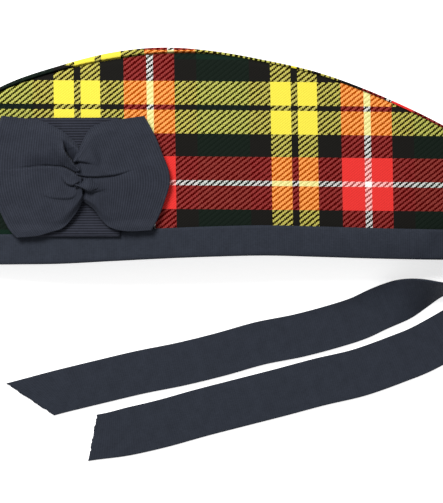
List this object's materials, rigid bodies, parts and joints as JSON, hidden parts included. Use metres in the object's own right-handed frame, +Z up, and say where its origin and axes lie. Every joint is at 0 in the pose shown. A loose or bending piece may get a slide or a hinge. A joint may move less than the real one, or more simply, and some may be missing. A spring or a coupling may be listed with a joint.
{
  "type": "tartan glengarry cap",
  "caption": "Folded tartan glengarry cap lying on its side, with a navy grosgrain band, a bow cockade and ribbon tails.",
  "frame": {"origin": "on the flat underside of the right wall, which the cap lies on, at half the length of the cap", "axes": "+X along the cap to its back, +Y from the hem to the ridge, +Z up from the surface that the cap lies on"},
  "size_m": [0.317, 0.2336, 0.0389],
  "materials": {
    "tartan_twill": "woven tartan twill in yellow, red, white, black and dark green",
    "grosgrain_band": "dark navy grosgrain ribbon, fine cross ribs",
    "grosgrain_ribbon": "dark navy grosgrain ribbon, fine cross ribs"
  },
  "bodies": {
    "root": {"left_side": "tartan_twill", "right_side": "tartan_twill", "crown": "tartan_twill", "band": "grosgrain_band", "cockade_pad": "grosgrain_ribbon", "cockade_rear_wing": "grosgrain_ribbon", "cockade_front_wing": "grosgrain_ribbon", "cockade_knot": "grosgrain_ribbon", "tail_inner": "grosgrain_ribbon", "tail_outer": "grosgrain_ribbon"}
  },
  "joints": []
}
